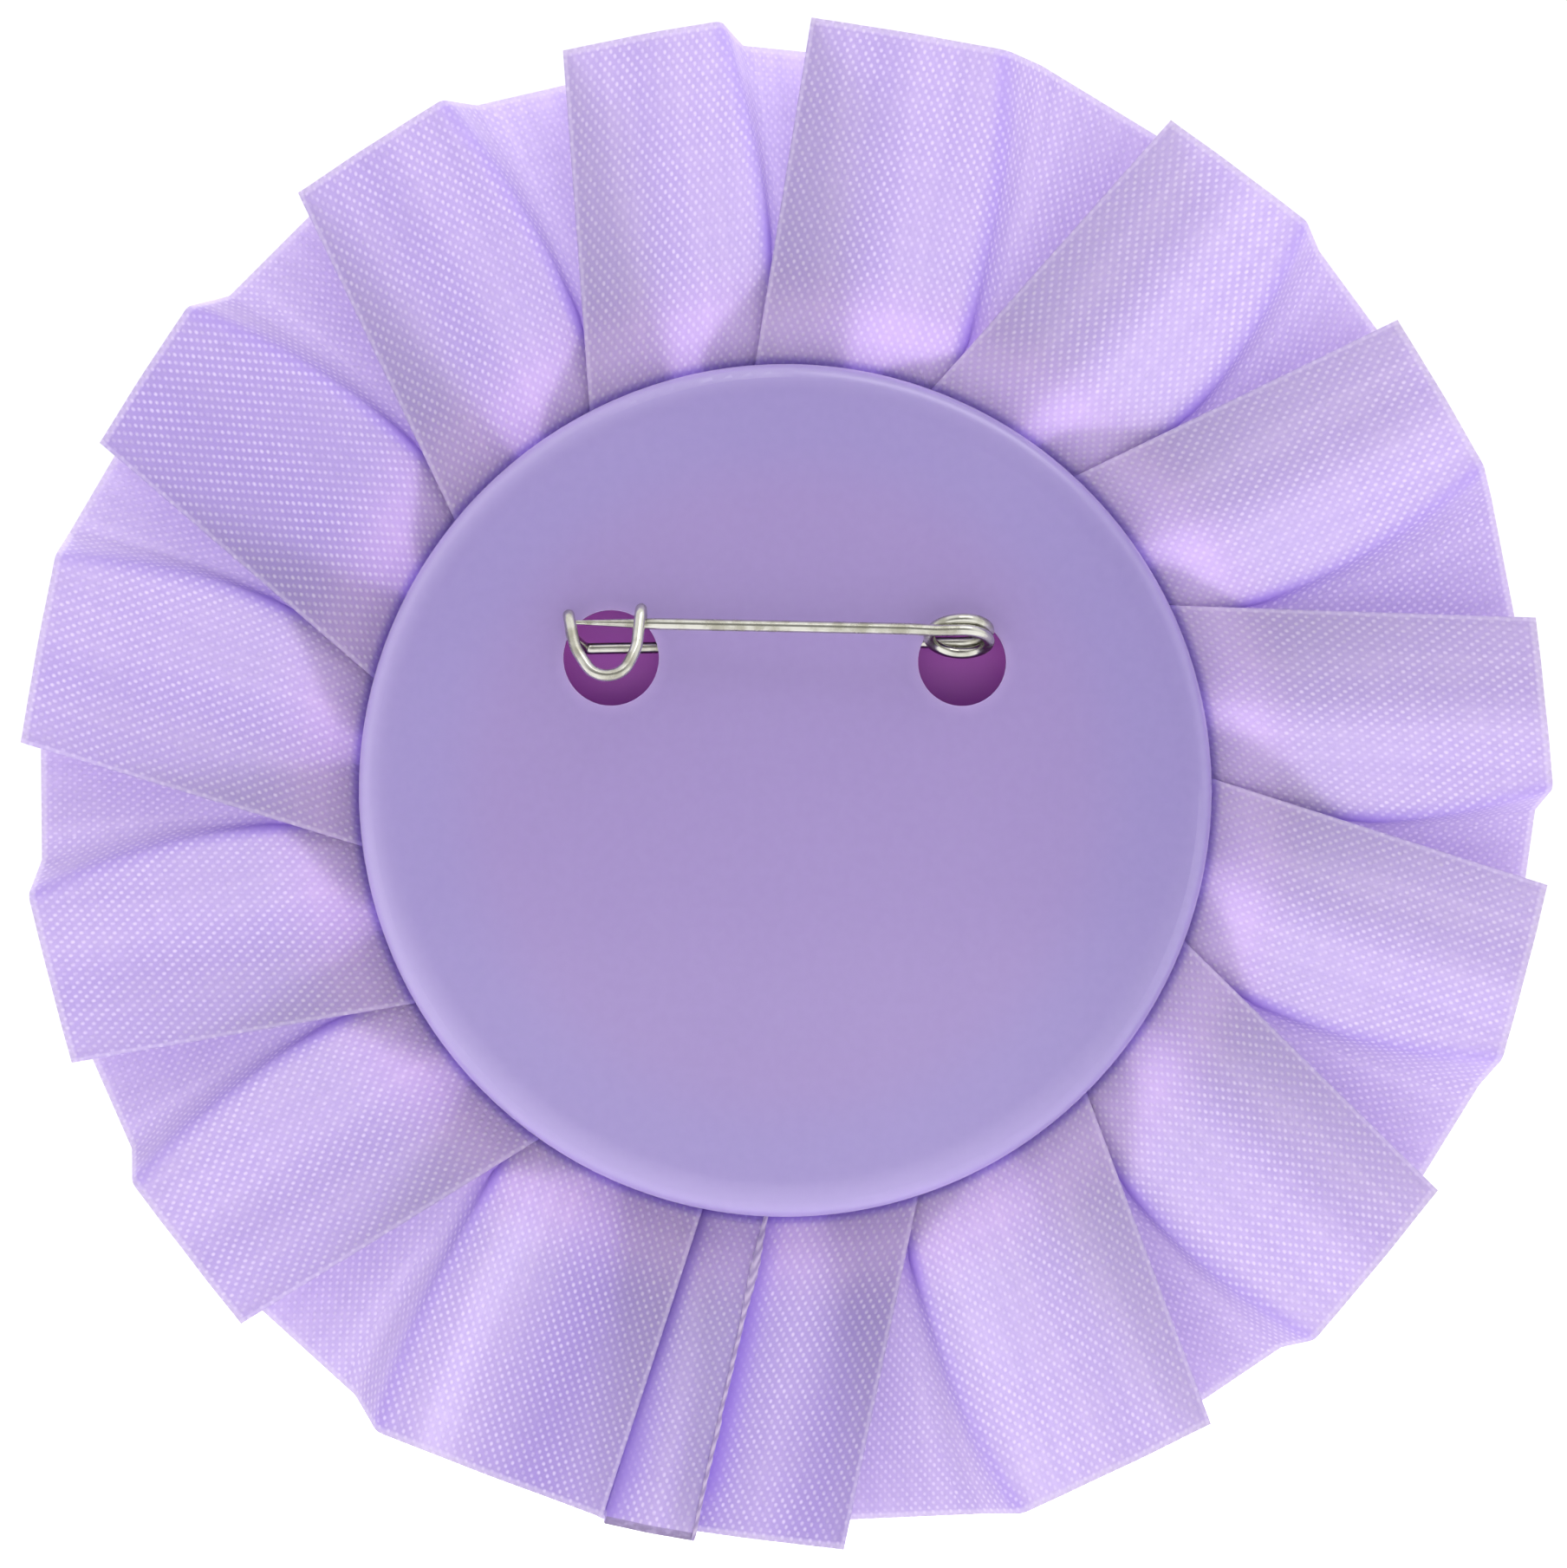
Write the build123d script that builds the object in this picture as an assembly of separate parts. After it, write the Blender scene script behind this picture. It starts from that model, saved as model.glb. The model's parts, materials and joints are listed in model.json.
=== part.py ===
from build123d import *
import math
import os

# Award rosette: a pleated ribbon ring held between a moulded back plate and a front button,
# with a safety-pin fastener that reaches through two holes in the back plate.
#
# World frame: +Z up as worn, the display front faces -Y and the pin side faces +Y.
# The origin is the centre of the back plate's outer face. Everything is drawn in a local
# frame that looks at the pin side: x to the right, y up and z out of the back plate.

# ---- back plate ----
PLATE_R = 28.6              # 57 mm button back
PLATE_T = 1.0               # thickness of the flat wall
PLATE_SKIRT = 2.6           # depth of the rim, from the outer face to its lower edge
PLATE_SKIRT_T = 1.3
PLATE_EDGE_R = 0.95         # rounding of the shoulder
CATCH_HOLE = (-11.66, 8.87, 3.20)    # x, y and radius
COIL_HOLE = (11.83, 8.60, 2.95)

# ---- pin wire ----
WIRE_R = 0.39
BACKBONE_Z = -PLATE_T - WIRE_R - 0.02
BACKBONE_COIL_XY = (8.90, 9.92)      # where the straight backbone ends, beside the coil
COIL_X, COIL_Y, COIL_Z = 11.60, 10.85, 0.55
COIL_R = 1.98               # mean radius
COIL_PITCH = 0.82
COIL_TURNS = 1.5
COIL_TILT = 27.0            # lean of the coil's axis away from straight up
COIL_TAIL = 1.20            # straight run between the coil and the hinge gap
COIL_CORNERS = 8            # arcs that make up one turn
FILLET_SHARE = 0.96         # leaves a short straight run between two arcs of one curve

# ---- needle ----
HINGE_GAP = 0.12            # free space between the coil's tail and the needle's round root
NEEDLE_BEND = (8.20, 10.745, 2.80)
NEEDLE_BEND_R = 2.5
NEEDLE_TIP = (-13.95, 11.20, 2.15)
NEEDLE_TIP_R = 0.14
NEEDLE_TAPER = 5.6          # length of the ground point

# ---- catch ----
RIGHT_CURL_X, LEFT_CURL_X = -9.60, -14.42
RIGHT_CURL_R, LEFT_CURL_R = 0.95, 0.80
LEFT_CURL_Y, LEFT_CURL_Z = 10.88, 2.20
TONGUE_SLOPE = 24.0         # how steeply the tongue stands away from the plate
TONGUE = [(-9.86, 9.46), (-10.79, 7.62), (-12.72, 7.62), (-13.93, 9.46)]    # its corners in x and y
TONGUE_RADII = [3.0, 1.55, 1.55, 3.0]
RISE = [(LEFT_CURL_X + 0.15, 10.25, 0.62), (LEFT_CURL_X + 0.95, 9.50, BACKBONE_Z)]
RISE_RADII = [0.7, 0.62]    # where the wire climbs from the backbone to the left curl
BONE_END_R = 4.0            # gentle bend where the backbone meets the coil

# ---- pleated ribbon ----
RIBBON_T = 0.12
RIM_R = 29.3                # where the pleats leave the plate's rim
OUTER_R = 51.3
OUTER_BACK_Z, OUTER_FRONT_Z = 0.45, -6.55
UNDER_PLATE = 0.44          # how far each pleat runs in under the plate, as a share of its free run
OVERLAP_DEG = 3.0           # how far a pleat runs under its neighbour at the rim
RIM_TUCK = 0.42             # at the rim, how far the folds under a panel lie in from its edges
OUTER_TUCK = 0.12           # at the outer edge, how far a recess runs in under the next panel
RECESS_TURN = 0.22          # where a recess flattens out, as a share of the open gap
RECESS_TURN_Z = -2.80
# One row per back panel, in degrees clockwise from the top: the leading fold at the rim,
# the leading fold at the outer edge and the trailing fold at the outer edge.
PANELS = [
    (182.8, 187.1, 193.7),
    (191.4, 194.2, 212.3),
    (215.8, 225.4, 238.6),
    (240.6, 248.8, 261.6),
    (263.1, 273.2, 287.3),
    (285.9, 296.5, 308.5),
    (309.9, 320.5, 333.2),
    (333.3, 343.1, 355.0),
    (356.3, 361.9, 376.5),
    (380.6, 390.1, 402.6),
    (403.2, 412.8, 425.3),
    (425.0, 437.5, 450.2),
    (448.9, 457.6, 470.9),
    (471.3, 482.0, 496.4),
    (495.7, 506.5, 522.0),
    (522.6, 535.8, 549.5),
]

# ---- stitching and glue ----
THREAD_R = 0.15
THREAD_RING_R = 21.6
THREAD_Z = -2.52
BACK_GLUE = (22.6, 26.6)    # inner and outer radius of the hot-melt ring
FRONT_GLUE = (18.0, 25.5)

# ---- front button ----
BUTTON_R = 28.5
BUTTON_BACK_Z = -5.0
BUTTON_BASE_T = 1.3
BUTTON_DEPTH = 3.4
BUTTON_RIM_T = 1.6
INSERT_T = 0.4
DOME_EDGE_T = 0.6
DOME_RISE = 2.6
SEAT = 0.02                 # clearance between parts that sit on each other

WORLD = Plane(origin=(0, 0, 0), x_dir=(-1, 0, 0), z_dir=(0, 1, 0))


def ring(inner, outer, low, high):
    """A flat ring about the local z axis."""
    body = Pos(0, 0, low) * extrude(Circle(outer), high - low)
    if inner > 0:
        body -= Pos(0, 0, low - 1) * extrude(Circle(inner), high - low + 2)
    return body


def make_back_plate():
    """Shallow moulded cap with a rounded shoulder and two holes for the pin."""
    profile = Polyline(
        (0, 0), (PLATE_R, 0), (PLATE_R, -PLATE_SKIRT), (PLATE_R - PLATE_SKIRT_T, -PLATE_SKIRT),
        (PLATE_R - PLATE_SKIRT_T, -PLATE_T), (0, -PLATE_T), close=True)
    section = make_face(profile)
    shoulder = [v for v in section.vertices() if v.X > PLATE_R - 0.01 and v.Y > -0.01]
    section = fillet(shoulder, PLATE_EDGE_R)
    lower = [v for v in section.vertices() if v.Y < -PLATE_SKIRT + 0.01]
    section = fillet(lower, 0.3)
    body = revolve(Plane.XZ * section, Axis.Z)
    for x, y, r in (CATCH_HOLE, COIL_HOLE):
        body -= Pos(x, y, -PLATE_T - 1) * extrude(Circle(r), PLATE_T + 2)
    return body


def curl_points(x, centre_y, centre_z, radius, first_deg, last_deg):
    """Corner points whose fillets make an arc round a line parallel to x."""
    half_turn = abs(last_deg - first_deg) / 4
    reach = radius / math.cos(math.radians(half_turn))
    step = (last_deg - first_deg) / 4
    angles = (first_deg + step, first_deg + 3 * step)
    return [(x, centre_y + reach * math.cos(math.radians(a)), centre_z + reach * math.sin(math.radians(a)))
            for a in angles]


def coil_frame():
    """The coil's axis direction and the direction of its front, in the local frame."""
    tilt = math.radians(COIL_TILT)
    axis = Vector(0, -math.cos(tilt), math.sin(tilt))
    front = Vector(0, math.sin(tilt), math.cos(tilt))
    return axis, front


def coil_ends():
    """The ends of the coil's centre line, behind the plate and in front of it."""
    axis, front = coil_frame()
    centre = Vector(COIL_X, COIL_Y, COIL_Z)
    start = centre - front * COIL_R
    end = centre + front * COIL_R + axis * (COIL_PITCH * COIL_TURNS)
    return start, end


def needle_root():
    """Centre of the needle's round root, which is also the hinge point."""
    end = coil_ends()[1]
    return Vector(end.X - COIL_TAIL - HINGE_GAP - WIRE_R, end.Y, end.Z)


def needle_at(x):
    """Point on the centre line of the needle's straight shank at a given x."""
    bend, tip = Vector(*NEEDLE_BEND), Vector(*NEEDLE_TIP)
    share = (bend.X - x) / (bend.X - tip.X)
    return bend + (tip - bend) * share


def coil_points():
    """Corner points whose fillets make the coil, one for every eighth of a turn."""
    axis, front = coil_frame()
    across = Vector(1, 0, 0)
    centre = Vector(COIL_X, COIL_Y, COIL_Z)
    corners = round(COIL_TURNS * COIL_CORNERS)
    step = 2 * math.pi / COIL_CORNERS
    reach = COIL_R / math.cos(step / 2)
    points = []
    for i in range(corners):
        turn = (i + 0.5) * step
        outward = across * math.sin(turn) - front * math.cos(turn)
        rise = axis * (COIL_PITCH * turn / (2 * math.pi))
        points.append(tuple(centre + outward * reach + rise))
    return points


def make_pin_wire():
    """One bent wire: right curl, tongue, left curl, backbone, coil and the coil's tail."""
    start, end = coil_ends()
    caught = needle_at(RIGHT_CURL_X)
    leave_deg = 90 - TONGUE_SLOPE
    free_deg = -80
    right = curl_points(RIGHT_CURL_X, caught.Y, caught.Z, RIGHT_CURL_R, free_deg, leave_deg)
    left = curl_points(LEFT_CURL_X, LEFT_CURL_Y, LEFT_CURL_Z, LEFT_CURL_R, leave_deg, -62)
    free_end = (RIGHT_CURL_X, caught.Y + RIGHT_CURL_R * math.cos(math.radians(free_deg)),
                caught.Z + RIGHT_CURL_R * math.sin(math.radians(free_deg)))
    leave_y = caught.Y + RIGHT_CURL_R * math.cos(math.radians(leave_deg))
    leave_z = caught.Z + RIGHT_CURL_R * math.sin(math.radians(leave_deg))
    lean = math.tan(math.radians(TONGUE_SLOPE))
    tongue = [(x, y, leave_z + (leave_y - y) * lean) for x, y in TONGUE]
    bone_end = (*BACKBONE_COIL_XY, BACKBONE_Z)
    tail_end = (end.X - COIL_TAIL, end.Y, end.Z)
    coil = coil_points()
    points = [free_end] + right + tongue + left + RISE + [bone_end] + coil + [tail_end]
    radii = [RIGHT_CURL_R * FILLET_SHARE] * len(right) + TONGUE_RADII
    radii += [LEFT_CURL_R * FILLET_SHARE] * len(left) + RISE_RADII + [BONE_END_R]
    radii += [COIL_R * FILLET_SHARE] * len(coil)
    path = Wire(FilletPolyline(*points, radius=radii).edges())
    section = Plane(origin=path @ 0, z_dir=path % 0) * Circle(WIRE_R)
    return sweep(section, path=path)


def make_pin_needle():
    """Needle with a round root, a slight bend beside the coil, a straight shank and a ground point."""
    root, bend, tip = needle_root(), Vector(*NEEDLE_BEND), Vector(*NEEDLE_TIP)
    shank = bend + (tip - bend).normalized() * ((tip - bend).length - NEEDLE_TAPER)
    path = Wire(FilletPolyline(root, bend, shank, radius=NEEDLE_BEND_R).edges())
    root_frame = Plane(origin=root, z_dir=bend - root)
    body = sweep(root_frame * Circle(WIRE_R), path=path)
    body += root_frame * Sphere(WIRE_R, arc_size1=-90, arc_size2=0)
    body += Plane(origin=(shank + tip) * 0.5, z_dir=tip - bend) * Cone(WIRE_R, NEEDLE_TIP_R, NEEDLE_TAPER)
    return body


def on_circle(radius, clockwise_deg):
    turn = math.radians(clockwise_deg)
    return Vector(radius * math.sin(turn), radius * math.cos(turn), 0)


def fold_line(rim_deg, outer_deg):
    """Plan positions of a straight fold at the hidden inner edge, the rim and the outer edge."""
    rim = on_circle(RIM_R, rim_deg)
    outer = on_circle(OUTER_R, outer_deg)
    inner = rim + (rim - outer) * UNDER_PLATE
    return [inner, rim, outer]


def part_way(start, end, share):
    return start + (end - start) * share


def flat_pleat(a, b, height):
    """Corners of one pleat where it lies flat: those under its leading fold and under its trailing fold."""
    up = Vector(0, 0, 1)
    own, under = part_way(a, b, RIM_TUCK), part_way(b, a, RIM_TUCK)
    rise = [own + up * height["d_low"], own + up * height["d"], a + up * height["a_low"]]
    drop = [b + up * height["b_low"], under + up * height["c"], under + up * height["c_low"]]
    return rise, [a + up * height["a"], b + up * height["b"]], drop


def open_pleat(a, b, next_a, next_b):
    """Corners of one pleat at the outer edge, where a recess slopes down and in under the next panel."""
    up = Vector(0, 0, 1)
    own = part_way(a, b, OUTER_TUCK)
    rise = [own + up * OUTER_FRONT_Z, own + up * (OUTER_FRONT_Z + 0.22), a + up * (OUTER_BACK_Z - 0.22)]
    edge = b + up * (OUTER_BACK_Z - 0.3)
    turn = part_way(b, next_a, RECESS_TURN) + up * RECESS_TURN_Z
    foot = part_way(next_a, next_b, OUTER_TUCK) + up * OUTER_FRONT_Z
    drop = [part_way(edge, turn, 0.3), turn, part_way(turn, foot, 0.12)]
    return rise, [a + up * OUTER_BACK_Z, edge], drop


def ribbon_stations():
    """The ribbon's folded centre line at its inner edge, the rim and the outer edge."""
    leading = [fold_line(rim, outer) for rim, outer, _ in PANELS]
    leading_rims = [row[0] for row in PANELS[1:]] + [PANELS[0][0] + 360 + 6]
    trailing = [fold_line(rim + OVERLAP_DEG, row[2]) for row, rim in zip(PANELS, leading_rims)]
    # heights of the flat stack: leading fold top and bottom, trailing fold top and bottom,
    # the two heights at each fold underneath
    height = dict(a=-2.80, a_low=-3.02, b=-3.60, b_low=-3.84, c=-3.78, c_low=-4.02, d_low=-4.10, d=-3.42)
    last = len(PANELS) - 1
    stations = []
    for s in range(3):
        line = []
        for k in range(len(PANELS)):
            a, b = leading[k][s], trailing[k][s]
            n = min(k + 1, last)
            if s < 2:
                rise, panel, drop = flat_pleat(a, b, height)
            else:
                rise, panel, drop = open_pleat(a, b, leading[n][s], trailing[n][s])
            line += rise if k > 0 else []
            line += panel
            line += drop if k < last else []
        stations.append(line)
    return stations


def offset_line(line, distance):
    """The same folded line moved sideways by a distance, with mitred corners."""
    moved = []
    for i, point in enumerate(line):
        before = line[max(i - 1, 0)]
        after = line[min(i + 1, len(line) - 1)]
        around = Vector(point.Y, -point.X, 0).normalized()
        normals = []
        for p, q in ((before, point), (point, after)):
            step = q - p
            if step.length > 1e-6:
                run = Vector(step.dot(around), 0, step.Z).normalized()
                normals.append(Vector(-run.Z, 0, run.X))
        total = normals[0] + normals[-1]
        scale = distance / (1 + normals[0].dot(normals[-1]))
        moved.append(point + around * (total.X * scale) + Vector(0, 0, total.Z * scale))
    return moved


def triangles(p, q, r, s):
    """Two triangles across the four-cornered patch p, q, r, s."""
    return [Face(Wire.make_polygon(corners, close=True)) for corners in ((p, q, r), (p, r, s))]


def make_ribbon():
    """One long ribbon folded into pleats, as a thin closed solid."""
    lines = ribbon_stations()
    tops = [offset_line(line, RIBBON_T / 2) for line in lines]
    lows = [offset_line(line, -RIBBON_T / 2) for line in lines]
    faces = []
    count = len(lines[0])
    for i in range(count - 1):
        for s in range(2):
            faces += triangles(tops[s][i], tops[s][i + 1], tops[s + 1][i + 1], tops[s + 1][i])
            faces += triangles(lows[s][i], lows[s + 1][i], lows[s + 1][i + 1], lows[s][i + 1])
        faces += triangles(tops[0][i], lows[0][i], lows[0][i + 1], tops[0][i + 1])
        faces += triangles(tops[2][i], tops[2][i + 1], lows[2][i + 1], lows[2][i])
    for i in (0, count - 1):
        for s in range(2):
            faces += triangles(tops[s][i], tops[s + 1][i], lows[s + 1][i], lows[s][i])
    body = Solid(Shell(faces))
    if body.volume < 0:
        body = Solid(-body.shell())
    return body


def make_thread():
    """The gathering thread drawn tight round the inner part of the pleats."""
    return Pos(0, 0, THREAD_Z) * Torus(THREAD_RING_R, THREAD_R)


def make_front_button():
    """Plum moulded dish that carries the insert and clamps the pleats from the front."""
    front_z = BUTTON_BACK_Z - BUTTON_DEPTH
    floor_z = BUTTON_BACK_Z - BUTTON_BASE_T
    profile = Polyline(
        (0, BUTTON_BACK_Z), (BUTTON_R, BUTTON_BACK_Z), (BUTTON_R, front_z),
        (BUTTON_R - BUTTON_RIM_T, front_z), (BUTTON_R - BUTTON_RIM_T, floor_z), (0, floor_z), close=True)
    section = make_face(profile)
    outer = [v for v in section.vertices() if v.X > BUTTON_R - 0.01]
    section = fillet(outer, 1.0)
    return revolve(Plane.XZ * section, Axis.Z)


def make_insert():
    """Card disc in the button's recess."""
    top = BUTTON_BACK_Z - BUTTON_BASE_T - SEAT
    return ring(0, BUTTON_R - BUTTON_RIM_T - 0.15, top - INSERT_T, top)


def make_dome():
    """Clear domed cover over the insert."""
    radius = BUTTON_R - BUTTON_RIM_T - 0.15
    flat_z = BUTTON_BACK_Z - BUTTON_BASE_T - INSERT_T - 2 * SEAT
    edge_z = flat_z - DOME_EDGE_T
    crown = (0, edge_z - DOME_RISE)
    middle_x = radius * 0.62
    middle = (middle_x, edge_z - DOME_RISE * (1 - 0.62 ** 2))
    arc = ThreePointArc(crown, middle, (radius, edge_z))
    outline = Wire([arc.edge(), *Polyline((radius, edge_z), (radius, flat_z), (0, flat_z), crown).edges()])
    return revolve(Plane.XZ * make_face(outline), Axis.Z)


def main():
    parts = {
        "back_plate": make_back_plate(),
        "pin_wire": make_pin_wire(),
        "pin_needle": make_pin_needle(),
        "pleated_ribbon": make_ribbon(),
        "gathering_thread": make_thread(),
        "back_glue": ring(*BACK_GLUE, -2.62, -PLATE_T - SEAT),
        "front_glue": ring(*FRONT_GLUE, BUTTON_BACK_Z + SEAT, -4.25),
        "front_button": make_front_button(),
        "button_insert": make_insert(),
        "button_dome": make_dome(),
    }
    os.makedirs("parts", exist_ok=True)
    for name, shape in parts.items():
        placed = WORLD * shape if isinstance(shape, Part) else shape.moved(WORLD.location)
        export_step(placed, os.path.join("parts", name + ".step"))
        print(name, round(placed.volume, 3), placed.is_valid)


main()
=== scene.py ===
import json
import math

import bmesh
import bpy
import numpy as np
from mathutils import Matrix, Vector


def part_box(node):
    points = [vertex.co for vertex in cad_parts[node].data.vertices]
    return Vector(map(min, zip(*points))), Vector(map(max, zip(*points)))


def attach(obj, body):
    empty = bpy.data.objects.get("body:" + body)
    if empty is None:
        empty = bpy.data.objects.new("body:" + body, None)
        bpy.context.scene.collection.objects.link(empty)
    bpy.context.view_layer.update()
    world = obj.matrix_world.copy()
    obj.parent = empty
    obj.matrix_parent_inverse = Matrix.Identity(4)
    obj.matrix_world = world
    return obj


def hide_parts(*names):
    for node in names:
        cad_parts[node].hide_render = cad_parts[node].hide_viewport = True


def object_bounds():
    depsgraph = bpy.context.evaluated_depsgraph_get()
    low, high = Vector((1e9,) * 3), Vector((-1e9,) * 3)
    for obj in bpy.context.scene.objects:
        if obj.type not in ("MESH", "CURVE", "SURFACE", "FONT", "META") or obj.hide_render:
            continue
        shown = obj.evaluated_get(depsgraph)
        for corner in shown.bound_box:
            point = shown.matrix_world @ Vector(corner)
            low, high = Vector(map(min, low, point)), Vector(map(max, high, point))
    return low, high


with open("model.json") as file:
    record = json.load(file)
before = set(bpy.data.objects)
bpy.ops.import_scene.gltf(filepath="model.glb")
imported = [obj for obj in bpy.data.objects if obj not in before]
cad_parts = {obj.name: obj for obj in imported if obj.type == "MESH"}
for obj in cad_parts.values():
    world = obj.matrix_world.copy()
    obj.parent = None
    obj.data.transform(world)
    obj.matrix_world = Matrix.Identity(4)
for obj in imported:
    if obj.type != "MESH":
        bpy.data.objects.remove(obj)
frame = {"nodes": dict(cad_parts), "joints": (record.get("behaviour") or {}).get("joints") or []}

# Award rosette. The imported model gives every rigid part; this script adds the pleated ribbon, its cut end,
# the bend of the pin's wire at the hinge, the materials, the lights and the camera.
#
# Local frame used for the ribbon, in millimetres: it looks at the pin side, with x to the right, y up and
# z out of the back plate. In the model's frame that is -X, +Z and +Y.

cad_low, cad_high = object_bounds()
NODES = frame["nodes"]
MM = 0.001
PLATE_R = 28.6              # the back plate's outer radius
WIRE_R = 0.39               # the pin's wire

# ---- ribbon: the CAD solid's folds, with small changes beside the cut end ----
RIBBON_T = 0.12
RIM_R = 29.3                # where the pleats leave the plate's rim
OUTER_R = 51.3
UNDER_PLATE = 0.44          # hidden run of each fold, as a share of its free run
OVERLAP_DEG = 3.0           # how far a pleat runs under its neighbour at the rim
RIM_TUCK = 0.42             # at the rim, how far the folds under a panel lie in from its edges
OUTER_TUCK = 0.12           # at the outer edge, how far a recess runs in under the next panel
RECESS_TURN = 0.22          # where a recess flattens out, as a share of the open gap
RECESS_TURN_Z = -2.80       # and its height there, at the outer edge
OUTER_BACK_Z, OUTER_FRONT_Z = 0.45, -6.55
OUTER_CENTRE = (0.10, 0.40) # the fan of pleats sits a little high on the plate
# One row per back panel, in degrees clockwise from the top: the leading fold at the rim, the leading
# fold at the outer edge and the trailing fold at the outer edge. Then, in millimetres, the radius where
# the trailing fold comes out from under the next panel, and how far the recess beside it draws in at
# its turn and at its foot.
PANELS = [
    (182.8, 187.1, 194.0, 46.0, -0.4, -0.1),
    (191.4, 194.2, 212.3, 31.7, 0.7, 0.6),
    (215.8, 225.4, 238.6, 33.4, 0.7, 0.4),
    (240.6, 248.8, 261.6, 33.5, 0.7, 0.3),
    (263.1, 273.2, 287.3, 35.4, 0.0, 0.5),
    (285.9, 296.5, 308.5, 33.4, 1.2, 0.6),
    (309.9, 320.5, 333.2, 33.8, 0.9, 1.5),
    (333.3, 343.1, 355.0, 35.5, 1.4, 1.5),
    (356.3, 361.9, 376.5, 31.8, -0.3, 0.5),
    (380.6, 390.1, 402.6, 35.9, 0.4, 0.6),
    (403.2, 412.8, 425.3, 33.3, -0.1, 0.5),
    (425.0, 437.5, 450.2, 37.7, 0.8, 0.6),
    (448.9, 457.6, 470.9, 33.8, 0.3, 0.4),
    (471.3, 482.0, 496.4, 34.6, 0.7, 0.6),
    (495.7, 506.5, 522.0, 31.9, 0.2, 1.1),
    (522.6, 535.8, 549.5, 33.0, 0.2, 0.6),
]
SOFT_PANEL = 8              # the top panel, whose trailing fold is barely creased
# Painted shade and light for each panel and for the recess that follows it, for how the light falls on
# pleats tilted unevenly: 1 is darkest, 0 is plain, and below 0 is paler, painted light.
PANEL_SHADES = [0.0, 0.50, 0.12, 0.20, 0.22, 0.68, 0.28, 0.05, 0.15, -0.15, -0.10, 0.0, -0.10, -0.10, -0.15, 0.64]
RECESS_SHADES = [0.0, -0.25, -0.15, -0.15, -0.55, -0.25, -0.70, -0.95, 0.0, -0.10, 0.25, -0.10, -0.15, -0.15,
                -0.05]
SHADE_BLUR = 9               # columns over which one panel's painted shade fades into the next
# painted shade and painted light streaks along two panels: place as a share from the leading fold, half
# width, and how much darker (below 0, paler)
SHADE_STREAKS = {1: [(0.28, 0.16, 0.45), (0.68, 0.13, -0.85)], 15: [(0.22, 0.14, 0.25), (0.52, 0.12, -0.38)]}
SEAM_IN = (0.90, 0.75, 0.85)    # how far the cut panel and its two neighbours draw in at the outer edge
LAST_DIP = 0.9              # how far the last panel dips where the cut end lies over it
END_REACH = 0.55            # how far the cut end's own panel stands out beyond the others
# Heights of a pleat's eight fold lines at the rim. The panel runs from a to b, the recess turns at c and
# ends at d, and each fold doubles back at its _low line.
RIM_Z = dict(a=-2.80, a_low=-3.02, b=-3.60, b_low=-3.84, c=-3.78, c_low=-4.02, d_low=-4.10, d=-3.42)
HIDDEN_ROWS, FREE_ROWS = 5, 29      # rows of points under the plate and from the rim outwards
PANEL_COLUMNS = 22          # columns across a panel, apart from its folds
TIGHT_FOLD = 0.10           # how far a sharp crease reaches to each side
SHARE = np.concatenate([
    np.linspace(-UNDER_PLATE, 0, HIDDEN_ROWS, endpoint=False),
    np.linspace(0, 1, FREE_ROWS)])      # 0 at the plate's rim and 1 at the outer edge

HOLES = [(-11.66, 8.87, 3.20), (11.83, 8.60, 2.95)]     # the plate's holes: x, y and radius

# ---- weave ----
FLAT_WIDTH = 32.0           # the ribbon's own width
DOT_PITCH = 0.625           # binding points along a row
ROW_PITCH = 0.35            # one weft row to the next
DOT_SHIFT = 0.4             # five-end satin: each row is shifted by two ends of five


def to_world(points):
    """Local millimetres to the model's frame in metres."""
    p = np.asarray(points, float)
    return np.stack([-p[..., 0], p[..., 2], p[..., 1]], -1) * MM


# ------------------------------------------------------------------ ribbon geometry

def on_circle(radius, clockwise_deg):
    turn = math.radians(clockwise_deg)
    return np.array([radius * math.sin(turn), radius * math.cos(turn)])


def straight_fold(rim_deg, outer_deg):
    """Plan positions along a straight fold, one for each entry of SHARE."""
    rim, outer = on_circle(RIM_R, rim_deg), on_circle(OUTER_R, outer_deg)
    return rim + np.outer(SHARE, outer - rim)


def smooth_through(knots, values, at):
    """Cubic curve through a few values, with the mean slope of the two sides at each inner knot."""
    knots, values = np.asarray(knots, float), np.asarray(values, float)
    slopes = np.diff(values) / np.diff(knots)
    tangents = np.concatenate([[slopes[0]], (slopes[1:] + slopes[:-1]) / 2, [slopes[-1]]])
    i = np.clip(np.searchsorted(knots, at) - 1, 0, len(knots) - 2)
    h = knots[i + 1] - knots[i]
    u = (at - knots[i]) / h
    return ((2 * u**3 - 3 * u**2 + 1) * values[i] + (u**3 - 2 * u**2 + u) * h * tangents[i]
            + (3 * u**2 - 2 * u**3) * values[i + 1] + (u**3 - u**2) * h * tangents[i + 1])


def knuckle_share(k):
    return (PANELS[k][3] - RIM_R) / (OUTER_R - RIM_R)


def trailing_fold(k, next_leading, next_rim_deg):
    """Plan positions along a trailing fold, which curves out from under the next panel."""
    outer_deg, knuckle = PANELS[k][2], knuckle_share(k)
    angles = np.degrees(np.arctan2(next_leading[:, 0], next_leading[:, 1]))
    angles = np.unwrap(angles, period=360)
    angles += 360 * round((next_rim_deg - angles[HIDDEN_ROWS]) / 360)
    gap = angles[-1] - outer_deg
    gaps = smooth_through([-UNDER_PLATE, 0, knuckle, 1], [-OVERLAP_DEG - 0.6, -OVERLAP_DEG, 0, gap], SHARE)
    turn = np.radians(angles - gaps)
    straight = np.linalg.norm(straight_fold(next_rim_deg + OVERLAP_DEG, outer_deg), axis=1)
    return np.stack([straight * np.sin(turn), straight * np.cos(turn)], -1)


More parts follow.
